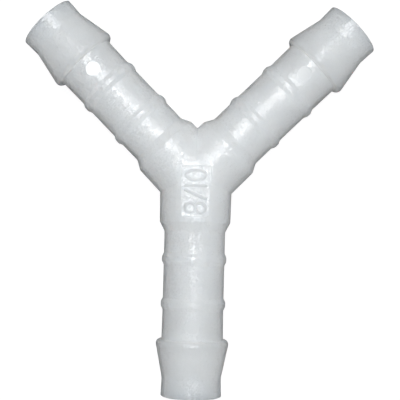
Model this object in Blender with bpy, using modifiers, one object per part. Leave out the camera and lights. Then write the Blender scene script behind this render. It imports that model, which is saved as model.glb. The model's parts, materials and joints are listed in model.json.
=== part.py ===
"""A moulded plastic Y connector that joins three lengths of 8 mm hose.

Three equal legs lie in one level plane and meet at the junction. The stem points along -Y,
and the two arms point to the +Y side, one on each side of the Y axis. Each leg is the same
turned shape: body, cone, tube with low ribs, barb and a plain end, with a bore right through.
Lengths are in metres, +Z is up, and the connector lies on the widest rings of its three barbs.
"""

import math

import bmesh
import bpy
from mathutils import Matrix, Vector

MM = 0.001

# Angle between each arm and the Y axis
ARM_ANGLE = math.radians(45.0)

# Body: the stout middle of the connector, from the junction outwards
BODY_ROOT_RADIUS = 4.80 * MM
BODY_END_RADIUS = 4.71 * MM
BODY_LENGTH = 5.90 * MM
CONE_LENGTH = 1.25 * MM

# Tube with its low ribs, slightly wider from the last rib to the barb
TUBE_RADIUS = 4.05 * MM
TUBE_END_RADIUS = 4.10 * MM
RIB_COUNT = 2
CONE_TO_FIRST_RIB = 3.67 * MM
RIB_PITCH = 5.96 * MM
LAST_RIB_TO_BARB = 4.70 * MM
RIB_LENGTH = 1.60 * MM
RIB_HEIGHT = 0.25 * MM
RIB_FLANK = math.radians(26.0)
RIB_ROUNDING = 0.40 * MM

# Barb: a square shoulder towards the junction, a rounded edge and a long taper to the neck
BARB_RADIUS = 4.82 * MM
BARB_ROUNDING = 0.64 * MM
BARB_LENGTH = 5.12 * MM
NECK_RADIUS = 3.94 * MM

# Plain end that starts the hose
END_LENGTH = 2.40 * MM
END_RADIUS = 4.03 * MM
RIM_ROUNDING = 0.12 * MM

# Bore, drawn slightly narrower at the junction so that the core pins slide out
BORE_RADIUS = 3.05 * MM
BORE_DRAFT = 0.10 * MM
MOUTH_ROUNDING = 0.25 * MM

# Flat sunk panel over the junction, which carries the size mark
PANEL_WIDTH = 3.80 * MM
PANEL_DEPTH = 0.41 * MM
PANEL_TOWARDS_ARMS = 1.40 * MM
PANEL_TOWARDS_STEM = 5.20 * MM

# Round flat left by an ejector pin on each tube, halfway from the last rib to the barb
PIN_MARK_RADIUS = 0.95 * MM
PIN_MARK_DEPTH = 0.14 * MM

# Fineness of the curves
LEG_SIDES = 40
RIB_STEPS = 3
BARB_STEPS = 6
RIM_STEPS = 3
PIN_SIDES = 32

# Working allowances
LEG_OVERLAP = 1.0 * MM
CUT_ALLOWANCE = 1.0 * MM
WALL_SHARE = 0.4
ON_PLANE = 1e-7
WELD_DISTANCE = 1e-6
SMOOTH_ANGLE = math.radians(25.0)

# Places along a leg, measured from the junction
CONE_END = BODY_LENGTH + CONE_LENGTH
FIRST_RIB = CONE_END + CONE_TO_FIRST_RIB
LAST_RIB = FIRST_RIB + (RIB_COUNT - 1) * RIB_PITCH
SHOULDER = LAST_RIB + LAST_RIB_TO_BARB
NECK = SHOULDER + BARB_LENGTH
LEG_END = NECK + END_LENGTH
PIN_MARK = (LAST_RIB + RIB_LENGTH / 2 + SHOULDER) / 2

UP = Vector((0.0, 0.0, 1.0))
STEM = Vector((0.0, -1.0, 0.0))
RIGHT_ARM = Vector((math.sin(ARM_ANGLE), math.cos(ARM_ANGLE), 0.0))
LEFT_ARM = Vector((-math.sin(ARM_ANGLE), math.cos(ARM_ANGLE), 0.0))
LEGS = (STEM, RIGHT_ARM, LEFT_ARM)


def remove_everything():
    """Empties the scene, so that the script can be run again in the same file."""
    for thing in list(bpy.data.objects):
        bpy.data.objects.remove(thing, do_unlink=True)


def new_collection(name):
    """A collection under the scene, for objects that belong together."""
    collection = bpy.data.collections.new(name)
    bpy.context.scene.collection.children.link(collection)
    return collection


def white_plastic():
    """Natural white moulding plastic, a little cool, with a soft sheen."""
    material = bpy.data.materials.new("white_plastic")
    material.use_nodes = True
    shader = material.node_tree.nodes["Principled BSDF"]
    shader.inputs["Base Color"].default_value = (0.78, 0.80, 0.81, 1.0)
    shader.inputs["Roughness"].default_value = 0.38
    shader.inputs["Metallic"].default_value = 0.0
    return material


def arc(radius_at_centre, place_of_centre, size, start, end, steps):
    """Points of an arc in the profile plane, as (radius, place along the leg).

    An angle of 0 points outwards from the leg's axis, and 90 degrees points to the leg's end.
    """
    angles = [start + (end - start) * step / steps for step in range(steps + 1)]
    return [
        (radius_at_centre + size * math.cos(angle), place_of_centre + size * math.sin(angle))
        for angle in angles
    ]


def rib(place):
    """A low rib on the tube, with sloping flanks, rounded edges and a narrow flat top."""
    half_top = RIB_LENGTH / 2 - RIB_HEIGHT / math.tan(RIB_FLANK)
    half_flat = half_top - RIB_ROUNDING * math.tan(RIB_FLANK / 2)
    centre = TUBE_RADIUS + RIB_HEIGHT - RIB_ROUNDING
    near = arc(centre, place - half_flat, RIB_ROUNDING, -RIB_FLANK, 0.0, RIB_STEPS)
    far = arc(centre, place + half_flat, RIB_ROUNDING, 0.0, RIB_FLANK, RIB_STEPS)
    feet = [(TUBE_RADIUS, place - RIB_LENGTH / 2), (TUBE_RADIUS, place + RIB_LENGTH / 2)]
    return feet[:1] + near + far + feet[1:]


def barb():
    """The shoulder's wall, the rounded edge, and the taper that leaves it as a tangent."""
    radius_at_centre = BARB_RADIUS - BARB_ROUNDING
    place_of_centre = SHOULDER + BARB_ROUNDING
    drop = radius_at_centre - NECK_RADIUS
    run = NECK - place_of_centre
    taper = math.atan2(drop, run) + math.asin(BARB_ROUNDING / math.hypot(drop, run))
    edge = arc(radius_at_centre, place_of_centre, BARB_ROUNDING, -math.pi / 2, taper, BARB_STEPS)
    return [(TUBE_END_RADIUS, SHOULDER)] + edge + [(NECK_RADIUS, NECK)]


def mouth():
    """The end of the leg: a rounded rim, a flat ring and a rounded lead into the bore."""
    wall = END_RADIUS - BORE_RADIUS
    rim = min(RIM_ROUNDING, WALL_SHARE * wall)
    lead = min(MOUTH_ROUNDING, WALL_SHARE * wall)
    outside = arc(END_RADIUS - rim, LEG_END - rim, rim, 0.0, math.pi / 2, RIM_STEPS)
    inside = arc(BORE_RADIUS + lead, LEG_END - lead, lead, math.pi / 2, math.pi, RIM_STEPS)
    return outside + inside


def leg_profile():
    """The closed section of one leg's wall, from behind the junction to the mouth and back."""
    points = [(BODY_ROOT_RADIUS, -LEG_OVERLAP), (BODY_ROOT_RADIUS, 0.0)]
    points += [(BODY_END_RADIUS, BODY_LENGTH), (TUBE_RADIUS, CONE_END)]
    for number in range(RIB_COUNT):
        points += rib(FIRST_RIB + number * RIB_PITCH)
    points += barb()
    points += mouth()
    points.append((BORE_RADIUS - BORE_DRAFT, -LEG_OVERLAP))
    return points


def turned_leg(collection):
    """One whole leg about local Z, turned from its profile by a Screw modifier."""
    bm = bmesh.new()
    corners = [bm.verts.new((radius, 0.0, place)) for radius, place in reversed(leg_profile())]
    for corner, following in zip(corners, corners[1:] + corners[:1]):
        bm.edges.new((corner, following))
    mesh = bpy.data.meshes.new("leg_profile")
    bm.to_mesh(mesh)
    bm.free()
    profile = bpy.data.objects.new("leg_profile", mesh)
    collection.objects.link(profile)
    screw = profile.modifiers.new("Turn", "SCREW")
    screw.axis = "Z"
    screw.steps = LEG_SIDES
    screw.render_steps = LEG_SIDES
    screw.use_merge_vertices = True
    screw.merge_threshold = WELD_DISTANCE
    turned = profile.evaluated_get(bpy.context.evaluated_depsgraph_get())
    leg = bpy.data.meshes.new_from_object(turned)
    bpy.data.objects.remove(profile, do_unlink=True)
    return leg


def mitred_leg(leg, direction):
    """The leg laid along its direction and cut halfway to each of the other two.

    Equal round legs meet in flat curves on the plane between them, so this one cut shapes
    the outside of the junction and the meeting of the bores inside it.
    """
    bm = bmesh.new()
    bm.from_mesh(leg)
    axes = Matrix((UP, direction.cross(UP), direction)).transposed()
    bm.transform(axes.to_4x4())
    for other in LEGS:
        if other is direction:
            continue
        bmesh.ops.bisect_plane(
            bm,
            geom=bm.verts[:] + bm.edges[:] + bm.faces[:],
            dist=ON_PLANE,
            plane_co=(0.0, 0.0, 0.0),
            plane_no=(other - direction).normalized(),
            clear_outer=True,
        )
    return bm


def joined_legs(collection):
    """Three mitred legs welded along their cuts into one closed, hollow body."""
    leg = turned_leg(collection)
    whole = bmesh.new()
    for direction in LEGS:
        bm = mitred_leg(leg, direction)
        mesh = bpy.data.meshes.new("mitred_leg")
        bm.to_mesh(mesh)
        bm.free()
        whole.from_mesh(mesh)
        bpy.data.meshes.remove(mesh)
    bpy.data.meshes.remove(leg)
    bmesh.ops.remove_doubles(whole, verts=whole.verts[:], dist=WELD_DISTANCE)
    mesh = bpy.data.meshes.new("y_connector")
    whole.to_mesh(mesh)
    whole.free()
    return mesh


def new_cutter(name, bm, collection):
    """A cutter shown as wires and left out of the render."""
    mesh = bpy.data.meshes.new(name)
    bm.to_mesh(mesh)
    bm.free()
    cutter = bpy.data.objects.new(name, mesh)
    cutter.display_type = "WIRE"
    cutter.hide_render = True
    collection.objects.link(cutter)
    return cutter


def panel_cutter(collection):
    """A box whose bottom is the floor of the sunk panel."""
    floor = BODY_ROOT_RADIUS - PANEL_DEPTH
    top = BODY_ROOT_RADIUS + CUT_ALLOWANCE
    length = PANEL_TOWARDS_ARMS + PANEL_TOWARDS_STEM
    middle = Vector((0.0, (PANEL_TOWARDS_ARMS - PANEL_TOWARDS_STEM) / 2, (floor + top) / 2))
    size = Vector((PANEL_WIDTH, length, top - floor))
    bm = bmesh.new()
    bmesh.ops.create_cube(bm, size=1.0, matrix=Matrix.LocRotScale(middle, None, size))
    return new_cutter("panel_cutter", bm, collection)


def pin_cutter(number, direction, collection):
    """An upright cylinder whose bottom is the flat left by an ejector pin."""
    floor = TUBE_RADIUS - PIN_MARK_DEPTH
    top = TUBE_RADIUS + CUT_ALLOWANCE
    middle = direction * PIN_MARK + UP * (floor + top) / 2
    bm = bmesh.new()
    bmesh.ops.create_cone(
        bm,
        cap_ends=True,
        segments=PIN_SIDES,
        radius1=PIN_MARK_RADIUS,
        radius2=PIN_MARK_RADIUS,
        depth=top - floor,
        matrix=Matrix.Translation(middle),
    )
    return new_cutter(f"pin_cutter_{number}", bm, collection)


def resting_place(mesh):
    """Where the junction goes, so that the origin is under the middle of the connector."""
    ys = [vertex.co.y for vertex in mesh.vertices]
    lowest = min(vertex.co.z for vertex in mesh.vertices)
    return Vector((0.0, -(min(ys) + max(ys)) / 2, -lowest))


def build():
    """The connector and its cutters, hung on one empty at the junction."""
    remove_everything()
    parts = new_collection("y_hose_connector")
    cutters = new_collection("cutters")

    mesh = joined_legs(parts)
    mesh.shade_smooth()
    mesh.set_sharp_from_angle(angle=SMOOTH_ANGLE)
    mesh.materials.append(white_plastic())
    connector = bpy.data.objects.new("y_connector", mesh)
    parts.objects.link(connector)

    tools = [panel_cutter(cutters)]
    for number, direction in enumerate(LEGS, start=1):
        tools.append(pin_cutter(number, direction, cutters))
    for tool in tools:
        cut = connector.modifiers.new(tool.name, "BOOLEAN")
        cut.operation = "DIFFERENCE"
        cut.solver = "EXACT"
        cut.object = tool

    junction = bpy.data.objects.new("junction", None)
    junction.location = resting_place(mesh)
    parts.objects.link(junction)
    for thing in [connector] + tools:
        thing.parent = junction


build()
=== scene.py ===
# %% [markdown]
# # A white Y connector for 8 mm hose
#
# The real thing is one moulding of natural white plastic, small enough to lie on two
# fingers. Three hoses are pushed over its barbs, and liquid or air runs through the bores.
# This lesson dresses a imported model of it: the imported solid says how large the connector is
# and where it lies, and the cells below make the surface that the camera sees.

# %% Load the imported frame
import json
import math

import bmesh
import bpy
from mathutils import Matrix, Vector

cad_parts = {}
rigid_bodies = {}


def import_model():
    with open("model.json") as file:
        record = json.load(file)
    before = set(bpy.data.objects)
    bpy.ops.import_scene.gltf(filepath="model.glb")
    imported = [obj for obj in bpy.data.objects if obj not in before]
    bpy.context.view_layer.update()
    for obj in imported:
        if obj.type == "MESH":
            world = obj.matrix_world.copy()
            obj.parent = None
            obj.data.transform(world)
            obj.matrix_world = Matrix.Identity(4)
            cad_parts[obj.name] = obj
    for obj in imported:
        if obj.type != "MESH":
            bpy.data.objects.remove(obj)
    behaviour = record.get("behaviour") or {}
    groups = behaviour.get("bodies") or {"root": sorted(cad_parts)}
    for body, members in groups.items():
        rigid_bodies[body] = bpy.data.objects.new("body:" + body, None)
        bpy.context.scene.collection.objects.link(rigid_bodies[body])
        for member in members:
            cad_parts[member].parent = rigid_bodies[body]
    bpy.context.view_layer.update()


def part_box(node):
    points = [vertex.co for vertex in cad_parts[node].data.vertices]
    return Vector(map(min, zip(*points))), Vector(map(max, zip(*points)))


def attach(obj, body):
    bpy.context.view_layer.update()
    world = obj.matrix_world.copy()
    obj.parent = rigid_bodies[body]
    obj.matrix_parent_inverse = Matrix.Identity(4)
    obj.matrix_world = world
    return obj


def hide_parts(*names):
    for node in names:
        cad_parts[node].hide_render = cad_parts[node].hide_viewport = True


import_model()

# %% [markdown]
# ## Sizes
#
# Every length is in metres. The three legs are the same turned shape, so one list of sizes
# serves them all. They are measured from the junction, the point where the three axes meet.
# The junction could be typed in as a point, but it is safer to find it from the packed
# model: half its height above the floor, and one leg's length in from the stem's end.

# %% Sizes of a leg
MM = 0.001

BODY_ROOT_RADIUS = 4.80 * MM
BODY_END_RADIUS = 4.71 * MM
BODY_LENGTH = 5.90 * MM
CONE_LENGTH = 1.25 * MM
TUBE_RADIUS = 4.05 * MM
TUBE_END_RADIUS = 4.10 * MM
RIB_PLACES = (10.82 * MM, 16.78 * MM)
RIB_LENGTH = 1.60 * MM
RIB_TOP_LENGTH = 0.575 * MM
RIB_HEIGHT = 0.25 * MM
SHOULDER = 21.48 * MM
BARB_CORNER_RADIUS = 4.96 * MM
NECK = 26.60 * MM
NECK_RADIUS = 3.94 * MM
LEG_END = 29.00 * MM
END_RADIUS = 4.03 * MM
BORE_RADIUS = 3.05 * MM
BORE_DRAFT = 0.10 * MM

ARM_ANGLE = math.radians(45.0)
UP = Vector((0.0, 0.0, 1.0))
STEM = Vector((0.0, -1.0, 0.0))
RIGHT_ARM = Vector((math.sin(ARM_ANGLE), math.cos(ARM_ANGLE), 0.0))
LEFT_ARM = Vector((-math.sin(ARM_ANGLE), math.cos(ARM_ANGLE), 0.0))
LEGS = (STEM, RIGHT_ARM, LEFT_ARM)

lowest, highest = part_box("y_connector")
JUNCTION = Vector((0.0, lowest.y + LEG_END, (lowest.z + highest.z) / 2))
print("junction in millimetres:", tuple(round(value / MM, 3) for value in JUNCTION))

# %% [markdown]
# ## Camera
#
# The photograph looks straight down on the connector from a hand's breadth away, so near
# points look larger and the round ends of the legs show as curves. That distance was found
# by fitting the outline, and the same place and lens are used here. The camera is turned a
# little about its own line of sight, because the part lay slightly askew in the picture.

# %% Camera
CAMERA_PLACE = JUNCTION + Vector((0.99, -6.26, 140.3)) * MM
CAMERA_TARGET = JUNCTION + Vector((0.58, -2.91, 0.0)) * MM
CAMERA_ROLL = math.radians(1.45)
CAMERA_LENS = 94.4
SENSOR_WIDTH = 36.0


def add_camera():
    """The photograph's camera, looking down with the stem towards the bottom of the frame."""
    camera = bpy.data.objects.new("camera", bpy.data.cameras.new("camera"))
    bpy.context.scene.collection.objects.link(camera)
    camera.data.lens = CAMERA_LENS
    camera.data.sensor_width = SENSOR_WIDTH
    camera.data.clip_start = 0.005
    camera.data.clip_end = 5.0
    backward = (CAMERA_PLACE - CAMERA_TARGET).normalized()
    right = Vector((math.cos(CAMERA_ROLL), math.sin(CAMERA_ROLL), 0.0))
    right = (right - right.dot(backward) * backward).normalized()
    axes = Matrix((right, backward.cross(right), backward)).transposed()
    camera.matrix_world = Matrix.Translation(CAMERA_PLACE) @ axes.to_4x4()
    return camera


bpy.context.scene.camera = add_camera()
print("camera height above the junction:", round((CAMERA_PLACE - JUNCTION).z / MM, 1), "mm")

# %% [markdown]
# ## Helpers for shader maths
#
# A material is a graph, but its sums are easier to read as sums. This small class wraps one
# output socket, and its operators add the Math nodes. Everything that isn't a sum goes
# through one method, which takes a node's type, its settings and its inputs.

# %% Shader maths
class Maths:
    """One output socket in a node tree, which can be added, multiplied and so on."""

    def __init__(self, tree, socket):
        self.tree = tree
        self.socket = socket

    @staticmethod
    def node(tree, kind, settings=None, outlet=0, **inputs):
        """Adds a node, sets its settings and then its inputs, and wraps one output."""
        node = tree.nodes.new(kind)
        for name, value in (settings or {}).items():
            setattr(node, name, value)
        for name, value in inputs.items():
            key = int(name[1:]) if name[0] == "_" else name.replace("_", " ")
            socket = node.inputs[key]
            if isinstance(value, Maths):
                tree.links.new(value.socket, socket)
            else:
                socket.default_value = value
        return Maths(tree, node.outputs[outlet])

    def sum(self, operation, first, second):
        """One Math node on two numbers or sockets."""
        return Maths.node(
            self.tree, "ShaderNodeMath", {"operation": operation}, _0=first, _1=second
        )

    def __add__(self, other):
        return self.sum("ADD", self, other)

    __radd__ = __add__

    def __sub__(self, other):
        return self.sum("SUBTRACT", self, other)

    def __rsub__(self, other):
        return self.sum("SUBTRACT", other, self)

    def __mul__(self, other):
        return self.sum("MULTIPLY", self, other)

    __rmul__ = __mul__

    def at_most(self, other):
        """The smaller of this and another number."""
        return self.sum("MINIMUM", self, other)


print("shader maths: +, -, * and at_most")

# %% [markdown]
# ## Plastic
#
# Natural white plastic lets light in and spreads it under the surface, so the ribs and the
# shoulders hardly show except where a highlight breaks on them. Subsurface scattering gives
# that. Its random walk follows the light through the wall and would lose it in the bores, so
# the older method is used, which blurs the light along the surface only. That leaves out two
# things that the real part shows: its stout middle is lit a little whiter than its thin ends,
# and a little light is lost around each barb's shoulder. Both are painted into the colour as
# shade, by the distance from the junction.

# %% Colour of the plastic
PLASTIC_COLOUR = (0.70, 0.725, 0.74)
MOTTLE = 0.012
CLOUDS_PER_MM = 0.3
THIN_END_PAINTED_SHADE = 0.12
SHOULDER_PAINTED_SHADE = 0.06
SHOULDER_SHADE_RISE = (17.5, 20.4)
SHOULDER_SHADE_FALL = (22.7, 24.2)


def shade(colour, level):
    """A colour with every channel multiplied, and with the fourth channel that nodes want."""
    return tuple(channel * level for channel in colour) + (1.0,)


def ramp(tree, value, low, high):
    """0 below the low value, 1 above the high one, and an even rise between them."""
    return Maths.node(tree, "ShaderNodeMapRange", _0=value, _1=low, _2=high, _3=0.0, _4=1.0)


def plastic_colour(tree, place, painted_shade_level):
    """The colour with faint clouds, a little greyer from painted shade at the ends and shoulders."""
    clouds = Maths.node(
        tree, "ShaderNodeTexNoise", Vector=place, Scale=CLOUDS_PER_MM, Detail=2.0
    )
    colour = Maths.node(
        tree,
        "ShaderNodeMix",
        {"data_type": "RGBA"},
        outlet=2,
        _0=clouds,
        _6=shade(PLASTIC_COLOUR, painted_shade_level * (1.0 - MOTTLE)),
        _7=shade(PLASTIC_COLOUR, painted_shade_level * (1.0 + MOTTLE)),
    )
    reach = Maths.node(
        tree,
        "ShaderNodeVectorMath",
        {"operation": "DISTANCE"},
        outlet="Value",
        _0=place,
        _1=JUNCTION / MM,
    )
    # Painted shade: the colour darkens towards the thin ends, and a band of painted shade darkens it
    # around each barb's shoulder.
    thin = ramp(tree, reach, BODY_END_RADIUS / MM, LEG_END / MM)
    corner = ramp(tree, reach, *SHOULDER_SHADE_RISE) * (1.0 - ramp(tree, reach, *SHOULDER_SHADE_FALL))
    return Maths.node(
        tree,
        "ShaderNodeMix",
        {"data_type": "RGBA", "blend_type": "MULTIPLY"},
        outlet=2,
        _0=thin * THIN_END_PAINTED_SHADE + corner * SHOULDER_PAINTED_SHADE,
        _6=colour,
        _7=shade((0.0, 0.0, 0.0), 1.0),
    )


print("plastic colour:", PLASTIC_COLOUR, "and", 1.0 - THIN_END_PAINTED_SHADE, "times that at the ends")

# %% [markdown]
# The mould was spark-eroded, which leaves tiny craters with smooth land between them. They
# can't be seen in the shadows, but the highlight on each crown is a band full of sparkles.
# A bump from soft noise would make ripples. Craters have facets, so here a Voronoi pattern
# gives each cell one random colour, and that colour tips the cell's normal one way, which
# makes the sparkles. The land between the craters is given as a coat with the plain normal,
# which draws the band. The insert that pressed the panel was eroded harder and has no land.
# The ejector pins and the bores come from polished steel, and the digits from a dull cutter,
# all without craters. The plastic is painted a little greyer in the sunk panel, on the pin
# flats and in the bores, and the dull digits greyer still; all of this is painted shade.
#
# Seen edge-on, grains hide one another and the gloss goes dull, so the rims of the real part
# are grey. A tipped normal can't hide anything. Here the glossy plastic is therefore mixed
# with one that has no gloss, by how far the surface is turned from the viewer.

# %% Finish of the plastic
SCATTER_REACH = (1.3, 1.15, 1.0)
SCATTER_SCALE = 5.0 * MM
GLOSS = 0.5
GLOSS_FADE = (0.40, 0.66)
GRAIN_PER_MM = 5.8
GRAIN_TILT = 0.18
INSERT_GRAIN_TILT = 0.26
REFRACTIVE_INDEX = 1.5
COAT_ROUGHNESS = 0.2


def vector_sum(tree, operation, *terms):
    """One Vector Math node on two or three vectors."""
    places = {f"_{number}": term for number, term in enumerate(terms)}
    return Maths.node(tree, "ShaderNodeVectorMath", {"operation": operation}, **places)


def grain_normal(tree, place, tilt):
    """The surface's normal, tipped at random from cell to cell."""
    facets = Maths.node(
        tree, "ShaderNodeTexVoronoi", outlet="Color", Vector=place, Scale=GRAIN_PER_MM
    )
    tip = vector_sum(tree, "MULTIPLY_ADD", facets, (2.0 * tilt,) * 3, (-tilt,) * 3)
    flat = Maths.node(tree, "ShaderNodeNewGeometry", outlet="Normal")
    return vector_sum(tree, "NORMALIZE", vector_sum(tree, "ADD", flat, tip))


def shaded(tree, colour, gloss, coat, roughness, grain):
    """White plastic with one level of gloss and of coat."""
    return Maths.node(
        tree,
        "ShaderNodeBsdfPrincipled",
        {"subsurface_method": "BURLEY"},
        Base_Color=colour,
        Roughness=roughness,
        IOR=REFRACTIVE_INDEX,
        Specular_IOR_Level=gloss,
        Subsurface_Weight=1.0,
        Subsurface_Radius=SCATTER_REACH,
        Subsurface_Scale=SCATTER_SCALE,
        Coat_Weight=coat,
        Coat_Roughness=COAT_ROUGHNESS,
        **grain,
    )


def plastic(name, roughness, gloss=GLOSS, coat=0.0, tilt=0.0, painted_shade_level=1.0):
    """White plastic whose gloss fades towards the rims, with craters where a tilt is given."""
    material = bpy.data.materials.new(name)
    material.use_nodes = True
    tree = material.node_tree
    tree.nodes.clear()
    place = Maths.node(tree, "ShaderNodeTexCoord", outlet="Object")
    place = Maths.node(
        tree, "ShaderNodeVectorMath", {"operation": "SCALE"}, _0=place, Scale=1.0 / MM
    )
    colour = plastic_colour(tree, place, painted_shade_level)
    grain = {"Normal": grain_normal(tree, place, tilt)} if tilt else {}
    turned = Maths.node(tree, "ShaderNodeLayerWeight", outlet="Facing", Blend=0.5)
    both = Maths.node(
        tree,
        "ShaderNodeMixShader",
        _0=ramp(tree, turned, *GLOSS_FADE),
        _1=shaded(tree, colour, gloss, coat, roughness, grain),
        _2=shaded(tree, colour, 0.0, 0.0, roughness, grain),
    )
    output = tree.nodes.new("ShaderNodeOutputMaterial")
    tree.links.new(both.socket, output.inputs["Surface"])
    return material


# The insert, polished and lettered plastics carry painted shade: their colour is darkened by the
# level given, and 1 leaves it as it is.
grained = plastic("grained_plastic", roughness=0.15, coat=0.25, tilt=GRAIN_TILT)
insert = plastic(
    "insert_plastic", roughness=0.12, gloss=0.7, tilt=INSERT_GRAIN_TILT, painted_shade_level=0.94
)
polished = plastic("polished_plastic", roughness=0.16, coat=0.22, painted_shade_level=0.96)
lettered = plastic("lettered_plastic", roughness=0.5, gloss=0.1, painted_shade_level=0.82)
print("plastics:", grained.name, insert.name, polished.name, lettered.name)

# %% [markdown]
# ## One leg
#
# A leg is a turned shape, so its half section is drawn once and spun about the axis. The
# section could be a long list of points. Here it is only its corners, and each corner is
# then rounded by a vertex bevel, which is how a draughtsman would fillet it. The bevel slides
# along both edges by the radius times the tangent of half the turn, and has a segment for
# about every 7 degrees. The long straight edge of the body is cut up, so that its faces stay
# small where the legs meet.

# %% Section of one leg
SPIN_STEPS = 144
BODY_CUTS = 19
ARC_STEP = 7.0
LEG_OVERLAP = 1.0 * MM


def leg_corners():
    """Corners of the half section as (radius, place, rounding), outside first, then the bore."""
    slope = (BODY_ROOT_RADIUS - BODY_END_RADIUS) / BODY_LENGTH
    corners = [
        (BODY_ROOT_RADIUS + slope * LEG_OVERLAP, -LEG_OVERLAP, 0.0),
        (BODY_END_RADIUS, BODY_LENGTH, 0.5 * MM),
        (TUBE_RADIUS, BODY_LENGTH + CONE_LENGTH, 0.4 * MM),
    ]
    for place in RIB_PLACES:
        corners.append((TUBE_RADIUS, place - RIB_LENGTH / 2, 0.20 * MM))
        corners.append((TUBE_RADIUS + RIB_HEIGHT, place - RIB_TOP_LENGTH / 2, 0.40 * MM))
        corners.append((TUBE_RADIUS + RIB_HEIGHT, place + RIB_TOP_LENGTH / 2, 0.40 * MM))
        corners.append((TUBE_RADIUS, place + RIB_LENGTH / 2, 0.20 * MM))
    corners += [
        (TUBE_END_RADIUS, SHOULDER, 0.12 * MM),
        (BARB_CORNER_RADIUS, SHOULDER, 0.64 * MM),
        (NECK_RADIUS, NECK, 1.2 * MM),
        (END_RADIUS, LEG_END, 0.12 * MM),
        (BORE_RADIUS, LEG_END, 0.25 * MM),
        (BORE_RADIUS - BORE_DRAFT, -LEG_OVERLAP, 0.0),
    ]
    return corners


def round_corner(bm, corner, radius):
    """Rounds one corner of a wire section with an arc of the given radius."""
    first, second = (edge.other_vert(corner).co - corner.co for edge in corner.link_edges)
    turn = math.pi - first.angle(second)
    bmesh.ops.bevel(
        bm,
        geom=[corner],
        offset=radius * math.tan(turn / 2),
        offset_type="OFFSET",
        segments=max(3, round(math.degrees(turn) / ARC_STEP)),
        profile=0.5,
        affect="VERTICES",
        material=-1,
    )


def leg_section():
    """The closed half section of a leg, with X as the radius and Z along the leg."""
    bm = bmesh.new()
    corners = leg_corners()
    points = [bm.verts.new((radius, 0.0, place)) for radius, place, rounding in corners]
    for pair in zip(points, points[1:] + points[:1]):
        bm.edges.new(pair)
    for point, (radius, place, rounding) in zip(points, corners):
        if rounding:
            round_corner(bm, point, rounding)
    outer = [edge for edge in bm.edges if min(vert.co.x for vert in edge.verts) > TUBE_RADIUS]
    body = max(outer, key=lambda edge: edge.calc_length())
    bmesh.ops.subdivide_edges(bm, edges=[body], cuts=BODY_CUTS)
    return bm


section = leg_section()
print("points in the section:", len(section.verts))

# %% [markdown]
# ## Three legs in one body
#
# Equal round bars whose axes meet in one plane cross in flat curves, like mitred mouldings.
# So nothing has to be calculated at the junction: each leg is cut by the two upright planes
# halfway to its neighbours, and the cut ends fit each other point for point. The bores meet
# in the same way. A Boolean union could do it too, but it would leave ragged triangles along
# the seam, just where the real moulding has its softest curve.

# %% Spin, mitre and weld the legs
ON_PLANE = 1e-7
WELD_DISTANCE = 1e-6
POLISHED_SLOT = 1


def spun_leg(bm):
    """Spins the section into a whole leg and gives the bore the polished finish."""
    bmesh.ops.spin(
        bm,
        geom=bm.verts[:] + bm.edges[:],
        cent=(0.0, 0.0, 0.0),
        axis=UP,
        dvec=(0.0, 0.0, 0.0),
        angle=2 * math.pi,
        steps=SPIN_STEPS,
        use_merge=True,
        use_duplicate=False,
    )
    for face in bm.faces:
        middle = face.calc_center_median()
        if math.hypot(middle.x, middle.y) < BORE_RADIUS:
            face.material_index = POLISHED_SLOT
    leg = bpy.data.meshes.new("leg")
    bm.to_mesh(leg)
    bm.free()
    return leg


def mitred_leg(leg, direction):
    """The leg laid along its direction and cut halfway to each of its neighbours."""
    bm = bmesh.new()
    bm.from_mesh(leg)
    axes = Matrix((UP, direction.cross(UP), direction)).transposed()
    bmesh.ops.transform(bm, matrix=axes.to_4x4(), verts=bm.verts)
    for neighbour in LEGS:
        if neighbour is not direction:
            bmesh.ops.bisect_plane(
                bm,
                geom=bm.verts[:] + bm.edges[:] + bm.faces[:],
                dist=ON_PLANE,
                plane_co=(0.0, 0.0, 0.0),
                plane_no=(neighbour - direction).normalized(),
                clear_outer=True,
            )
    return bm


def welded_legs(leg):
    """All three mitred legs in one bmesh, welded along their seams."""
    whole = bmesh.new()
    for direction in LEGS:
        bm = mitred_leg(leg, direction)
        mesh = bpy.data.meshes.new("mitred_leg")
        bm.to_mesh(mesh)
        bm.free()
        whole.from_mesh(mesh)
        bpy.data.meshes.remove(mesh)
    bmesh.ops.remove_doubles(whole, verts=whole.verts, dist=WELD_DISTANCE)
    bmesh.ops.recalc_face_normals(whole, faces=whole.faces)
    return whole


whole = welded_legs(spun_leg(section))
open_edges = sum(edge.is_boundary for edge in whole.edges)
print("welded body:", len(whole.faces), "faces, open edges:", open_edges)

# %% [markdown]
# ## Take the edge off the seams
#
# On the real part the valleys where the legs meet are clear fine lines, but no mould is
# knife-sharp. Beveling such a seam on a fine mesh tangles it, so the points on the seam are
# smoothed instead: each moves halfway to its neighbours' average, once. Points further away
# than the width below stay exactly where the turned shape put them, and so do the bores.

# %% Blend the outside of the seams
SEAM_WIDTH = 0.06 * MM
OUTSIDE_RADIUS = 4.2 * MM


def seam_planes():
    """The normal of each upright plane where two legs meet, and the way that it runs out."""
    pairs = ((STEM, RIGHT_ARM), (RIGHT_ARM, LEFT_ARM), (LEFT_ARM, STEM))
    return [
        ((second - first).normalized(), (first + second).normalized()) for first, second in pairs
    ]


def near_seam(point, planes):
    """True for a point on the outer wall within the blend's width of a seam plane."""
    for normal, outward in planes:
        if abs(point.dot(normal)) < SEAM_WIDTH and point.dot(outward) > -SEAM_WIDTH:
            along = max(LEGS, key=point.dot)
            across = point - along * point.dot(along)
            return across.length > OUTSIDE_RADIUS
    return False


planes = seam_planes()
blend = [vert for vert in whole.verts if near_seam(vert.co, planes)]
bmesh.ops.smooth_vert(
    whole, verts=blend, factor=0.5, use_axis_x=True, use_axis_y=True, use_axis_z=True
)
print("points blended:", len(blend))

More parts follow.
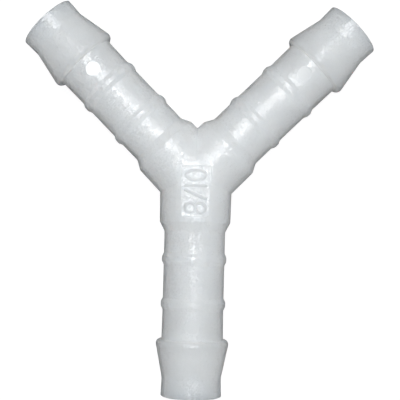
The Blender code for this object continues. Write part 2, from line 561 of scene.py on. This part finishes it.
# %% [markdown]
# ## Panel and pin marks
#
# A flat insert in the mould leaves a sunk panel over the junction, where makers mark the
# size, and each ejector pin leaves a small round flat. Both are shapes that something else
# pressed into the round wall, so both are cut with Boolean modifiers. The panel's cutter has
# sloping sides and a rounded bottom edge, as a mould insert has. The pin of the right arm sat
# a little askew, so its flat catches less light than the left one's.

# %% Cutters
PANEL_WIDTH = 3.80 * MM
PANEL_FLOOR = BODY_ROOT_RADIUS - 0.41 * MM
PANEL_TOWARDS_ARMS = 1.40 * MM
PANEL_TOWARDS_STEM = 5.20 * MM
PANEL_SPREAD = (1.2, 1.1, 1.0)
PANEL_ROUNDING = 0.06 * MM
PIN_MARK_RADIUS = 0.95 * MM
PIN_MARK_FLOOR = TUBE_RADIUS - 0.14 * MM
PIN_MARK_PLACE = (RIB_PLACES[-1] + RIB_LENGTH / 2 + SHOULDER) / 2
PIN_SIDES = 64
PIN_LEANS = (0.0, math.radians(4.4), 0.0)
PIN_LEAN_AXIS = Vector((1.0, 1.0, 0.0)).normalized()
CUT_HEIGHT = 1.5 * MM


def cutter(name, bm, material):
    """An object for a Boolean to cut with."""
    bmesh.ops.recalc_face_normals(bm, faces=bm.faces)
    mesh = bpy.data.meshes.new(name)
    bm.to_mesh(mesh)
    bm.free()
    mesh.materials.append(material)
    tool = bpy.data.objects.new(name, mesh)
    tool.location = JUNCTION
    bpy.context.scene.collection.objects.link(tool)
    return tool


def panel_cutter():
    """A box with its bottom edges rounded and its sides leaning outwards."""
    length = PANEL_TOWARDS_ARMS + PANEL_TOWARDS_STEM
    offset = (PANEL_TOWARDS_ARMS - PANEL_TOWARDS_STEM) / 2
    middle = Vector((0.0, offset, PANEL_FLOOR + CUT_HEIGHT / 2))
    size = Vector((PANEL_WIDTH, length, CUT_HEIGHT))
    bm = bmesh.new()
    bmesh.ops.create_cube(bm, size=1.0, matrix=Matrix.LocRotScale(middle, None, size))
    top = [vert for vert in bm.verts if vert.co.z > middle.z]
    bmesh.ops.scale(
        bm,
        vec=PANEL_SPREAD,
        space=Matrix.Translation(-middle),
        verts=top,
    )
    bottom = [edge for edge in bm.edges if all(vert.co.z < middle.z for vert in edge.verts)]
    bmesh.ops.bevel(
        bm,
        geom=bottom,
        offset=PANEL_ROUNDING,
        offset_type="OFFSET",
        segments=3,
        profile=0.5,
        affect="EDGES",
        material=-1,
    )
    return cutter("panel_cutter", bm, insert)


def pin_cutter(number, direction):
    """A cylinder standing on the floor of the pin mark, upright or leaning as its pin did."""
    floor = direction * PIN_MARK_PLACE + UP * PIN_MARK_FLOOR
    lean = Matrix.Rotation(PIN_LEANS[number - 1], 4, PIN_LEAN_AXIS)
    bm = bmesh.new()
    bmesh.ops.create_cone(
        bm,
        cap_ends=True,
        segments=PIN_SIDES,
        radius1=PIN_MARK_RADIUS,
        radius2=PIN_MARK_RADIUS,
        depth=CUT_HEIGHT,
        matrix=Matrix.Translation(floor) @ lean @ Matrix.Translation(UP * CUT_HEIGHT / 2),
    )
    return cutter(f"pin_cutter_{number}", bm, polished)


cutters = [panel_cutter()] + [pin_cutter(number, leg) for number, leg in enumerate(LEGS, start=1)]
print("cutters:", ", ".join(tool.name for tool in cutters))

# %% [markdown]
# ## Raised digits
#
# Makers put the hose size in the panel. This one gets plain numbers with no meaning. They
# were cut into the mould with a round-nosed tool, so on the part they stand up as low round
# strokes. Each is a ring or a rod sunk halfway into the panel's floor and flattened: a ring
# is a small circle spun about the middle of its bowl, and a rod is a ball with its halves
# pulled apart. Each stroke is a closed shape of its own, so that a Boolean union can weld it
# to the floor. They read from the stem's end upwards, with their tops to the left.

# %% Digits
STROKE_RADIUS = 0.21 * MM
STROKE_FLATNESS = 0.75
STROKE_SIDES = 48
RING_STEPS = 48
DIGIT_HEIGHT = 3.05 * MM
DIGIT_WIDTH = 1.69 * MM
DIGIT_FLOOR = PANEL_FLOOR - 0.01 * MM
FIRST_DIGIT = -4.06 * MM
SLASH = -2.31 * MM
SLASH_LEAN = 0.55 * MM
ONE = -1.17 * MM
LAST_DIGIT = 0.22 * MM


def stroke(name, bm, middle):
    """A stroke flattened about its own middle plane and put in its place on the floor."""
    bmesh.ops.scale(bm, vec=(1.0, 1.0, STROKE_FLATNESS), verts=bm.verts)
    bmesh.ops.translate(bm, vec=middle, verts=bm.verts)
    return cutter(name, bm, lettered)


def ring(name, middle, width, height):
    """A ring stroke whose outline is width along Y and height along X."""
    reach = (width / 2 - STROKE_RADIUS, height / 2 - STROKE_RADIUS)
    bm = bmesh.new()
    circle = bmesh.ops.create_circle(
        bm,
        segments=STROKE_SIDES,
        radius=STROKE_RADIUS,
        matrix=Matrix.Translation((reach[0], 0.0, 0.0)) @ Matrix.Rotation(math.pi / 2, 4, "X"),
    )["verts"]
    bmesh.ops.spin(
        bm,
        geom=circle + bm.edges[:],
        cent=(0.0, 0.0, 0.0),
        axis=UP,
        dvec=(0.0, 0.0, 0.0),
        angle=2 * math.pi,
        steps=RING_STEPS,
        use_merge=True,
        use_duplicate=False,
    )
    for vert in bm.verts:
        outward = Vector((vert.co.x, vert.co.y, 0.0)).normalized()
        vert.co.x += outward.x * (reach[1] - reach[0])
    return stroke(name, bm, middle)


def rod(name, start, end):
    """A straight stroke with round ends, from start to end."""
    run = end - start
    turn = UP.rotation_difference(run).to_matrix().to_4x4()
    bm = bmesh.new()
    ball = bmesh.ops.create_uvsphere(
        bm, u_segments=STROKE_SIDES, v_segments=STROKE_SIDES // 2, radius=STROKE_RADIUS
    )["verts"]
    upper_half = [vert for vert in ball if vert.co.z > 0.0]
    bmesh.ops.translate(bm, vec=UP * run.length, verts=upper_half)
    bmesh.ops.transform(bm, matrix=turn, verts=ball)
    return stroke(name, bm, start)


def digit_strokes():
    """The strokes of 8/10, reading along +Y, with the tops of the digits towards -X."""
    bowl = (DIGIT_HEIGHT + 2 * STROKE_RADIUS) / 2
    offset = (DIGIT_HEIGHT - bowl) / 2
    tall = DIGIT_HEIGHT / 2 - STROKE_RADIUS
    return [
        ring("lower_bowl", Vector((offset, FIRST_DIGIT, DIGIT_FLOOR)), DIGIT_WIDTH, bowl),
        ring("upper_bowl", Vector((-offset, FIRST_DIGIT, DIGIT_FLOOR)), DIGIT_WIDTH, bowl),
        rod(
            "slash",
            Vector((tall, SLASH - SLASH_LEAN, DIGIT_FLOOR)),
            Vector((-tall, SLASH + SLASH_LEAN, DIGIT_FLOOR)),
        ),
        rod("one", Vector((tall, ONE, DIGIT_FLOOR)), Vector((-tall, ONE, DIGIT_FLOOR))),
        ring("nought", Vector((0.0, LAST_DIGIT, DIGIT_FLOOR)), DIGIT_WIDTH, DIGIT_HEIGHT),
    ]


strokes = digit_strokes()
print("strokes:", ", ".join(tool.name for tool in strokes))

# %% [markdown]
# Cutters are taken away and strokes are added. The Booleans are applied at once, so that the
# finished piece is a plain mesh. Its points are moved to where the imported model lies, and its
# object stays at the origin. Edges sharper than the angle below are shaded as edges: the
# seams and the panel's rim are, and the rounded corners and the digits aren't.

# %% Cut, finish and dress the connector
SMOOTH_ANGLE = math.radians(10.0)


def moulded_body(bm, cutters, strokes):
    """The welded body after the cutters have been taken out of it and the strokes added."""
    mesh = bpy.data.meshes.new("connector_body")
    bm.to_mesh(mesh)
    bm.free()
    mesh.materials.append(grained)
    mesh.materials.append(polished)
    body = bpy.data.objects.new("connector_body", mesh)
    body.location = JUNCTION
    bpy.context.scene.collection.objects.link(body)
    steps = [(tool, "DIFFERENCE") for tool in cutters] + [(tool, "UNION") for tool in strokes]
    for tool, operation in steps:
        step = body.modifiers.new(tool.name, "BOOLEAN")
        step.operation = operation
        step.solver = "EXACT"
        step.material_mode = "TRANSFER"
        step.object = tool
    bpy.context.view_layer.update()
    evaluated = body.evaluated_get(bpy.context.evaluated_depsgraph_get())
    finished = bpy.data.meshes.new_from_object(evaluated)
    finished.transform(Matrix.Translation(JUNCTION))
    for thing in [body] + cutters + strokes:
        bpy.data.objects.remove(thing, do_unlink=True)
    return finished


def dress(name, mesh):
    """A finished piece at the origin, riding on the connector and taking its plastic."""
    mesh.shade_smooth()
    mesh.set_sharp_from_angle(angle=SMOOTH_ANGLE)
    piece = bpy.data.objects.new(name, mesh)
    bpy.context.scene.collection.objects.link(piece)
    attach(piece, "root")
    return piece


connector = dress("connector", moulded_body(whole, cutters, strokes))
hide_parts("y_connector")
print("connector:", len(connector.data.polygons), "faces, materials:", len(connector.data.materials))

# %% [markdown]
# ## Table and light
#
# The photograph is cut out on plain white. A white table lit to full brightness would throw
# so much light back up that the connector's flanks would lose their shading. So the table is
# a grey one that takes the shadow, and it glows white only where a camera ray, a reflection
# or a ray through the plastic meets it.

# %% Table
FLOOR_SIZE = 1.2
FLOOR_GREY = (0.12, 0.12, 0.12, 1.0)
FLOOR_GLOW = 0.95


def seen_directly(tree):
    """1 for camera, glossy and transmission rays, and 0 for the rays that carry light."""
    path = tree.nodes.new("ShaderNodeLightPath")
    camera, glossy, through = (
        Maths(tree, path.outputs[name])
        for name in ("Is Camera Ray", "Is Glossy Ray", "Is Transmission Ray")
    )
    return (camera + glossy + through).at_most(1.0)


def table_material():
    """Grey to the light, white to the eye, with the shadow kept."""
    material = bpy.data.materials.new("table")
    material.use_nodes = True
    tree = material.node_tree
    tree.nodes.clear()
    cloth = Maths.node(tree, "ShaderNodeBsdfDiffuse", Color=FLOOR_GREY)
    glow = Maths.node(tree, "ShaderNodeEmission", Strength=seen_directly(tree) * FLOOR_GLOW)
    both = Maths.node(tree, "ShaderNodeAddShader", _0=cloth, _1=glow)
    output = tree.nodes.new("ShaderNodeOutputMaterial")
    tree.links.new(both.socket, output.inputs["Surface"])
    return material


def add_table():
    """A wide flat table at the height where the connector rests."""
    bm = bmesh.new()
    bmesh.ops.create_grid(bm, x_segments=1, y_segments=1, size=FLOOR_SIZE / 2)
    mesh = bpy.data.meshes.new("table")
    bm.to_mesh(mesh)
    bm.free()
    mesh.materials.append(table_material())
    table = bpy.data.objects.new("table", mesh)
    bpy.context.scene.collection.objects.link(table)
    return table


table = add_table()
print("table:", table.dimensions.x, "m across")

# %% [markdown]
# The light is a round softbox above the far side of the connector, which draws the bright
# band along each crown, and a pale sky. The sky is dimmer near the horizon, so that the
# flanks fall off gently, and a little brighter on the right and in front, where a window
# would be.

# %% Lamps and sky
SOFTBOX_PLACE = JUNCTION + Vector((0.0, 102.0, 396.0)) * MM
SOFTBOX_WIDTH = 219.0 * MM
SOFTBOX_POWER = 1.07
SKY_RISE = 0.60
SKY_SLANT = (0.14, -0.25, 0.0)
SKY_LEVEL = 0.46
SKY_COLOUR = (0.97, 0.985, 1.0, 1.0)


def add_softbox():
    """A round lamp that faces the junction."""
    lamp = bpy.data.lights.new("softbox", "AREA")
    lamp.shape = "DISK"
    lamp.size = SOFTBOX_WIDTH
    lamp.energy = SOFTBOX_POWER
    softbox = bpy.data.objects.new("softbox", lamp)
    softbox.location = SOFTBOX_PLACE
    softbox.rotation_euler = (SOFTBOX_PLACE - JUNCTION).to_track_quat("Z", "Y").to_euler()
    bpy.context.scene.collection.objects.link(softbox)
    return softbox


def add_sky():
    """A sky that dims towards the horizon and is white where it is seen directly."""
    world = bpy.data.worlds.new("sky")
    world.use_nodes = True
    bpy.context.scene.world = world
    tree = world.node_tree
    tree.nodes.clear()
    direction = Maths.node(tree, "ShaderNodeTexCoord", outlet="Generated")
    height = Maths.node(tree, "ShaderNodeSeparateXYZ", outlet="Z", Vector=direction)
    slant = Maths.node(
        tree,
        "ShaderNodeVectorMath",
        {"operation": "DOT_PRODUCT"},
        outlet="Value",
        _0=direction,
        _1=SKY_SLANT,
    )
    level = ramp(tree, height, 0.0, SKY_RISE) * (slant + SKY_LEVEL)
    seen = seen_directly(tree)
    strength = level * (1.0 - seen) + seen
    glow = Maths.node(tree, "ShaderNodeBackground", Color=SKY_COLOUR, Strength=strength)
    output = tree.nodes.new("ShaderNodeOutputWorld")
    tree.links.new(glow.socket, output.inputs["Surface"])
    return world


softbox = add_softbox()
sky = add_sky()
bpy.context.scene.view_settings.view_transform = "Standard"
print("light:", softbox.name, "and", sky.name)
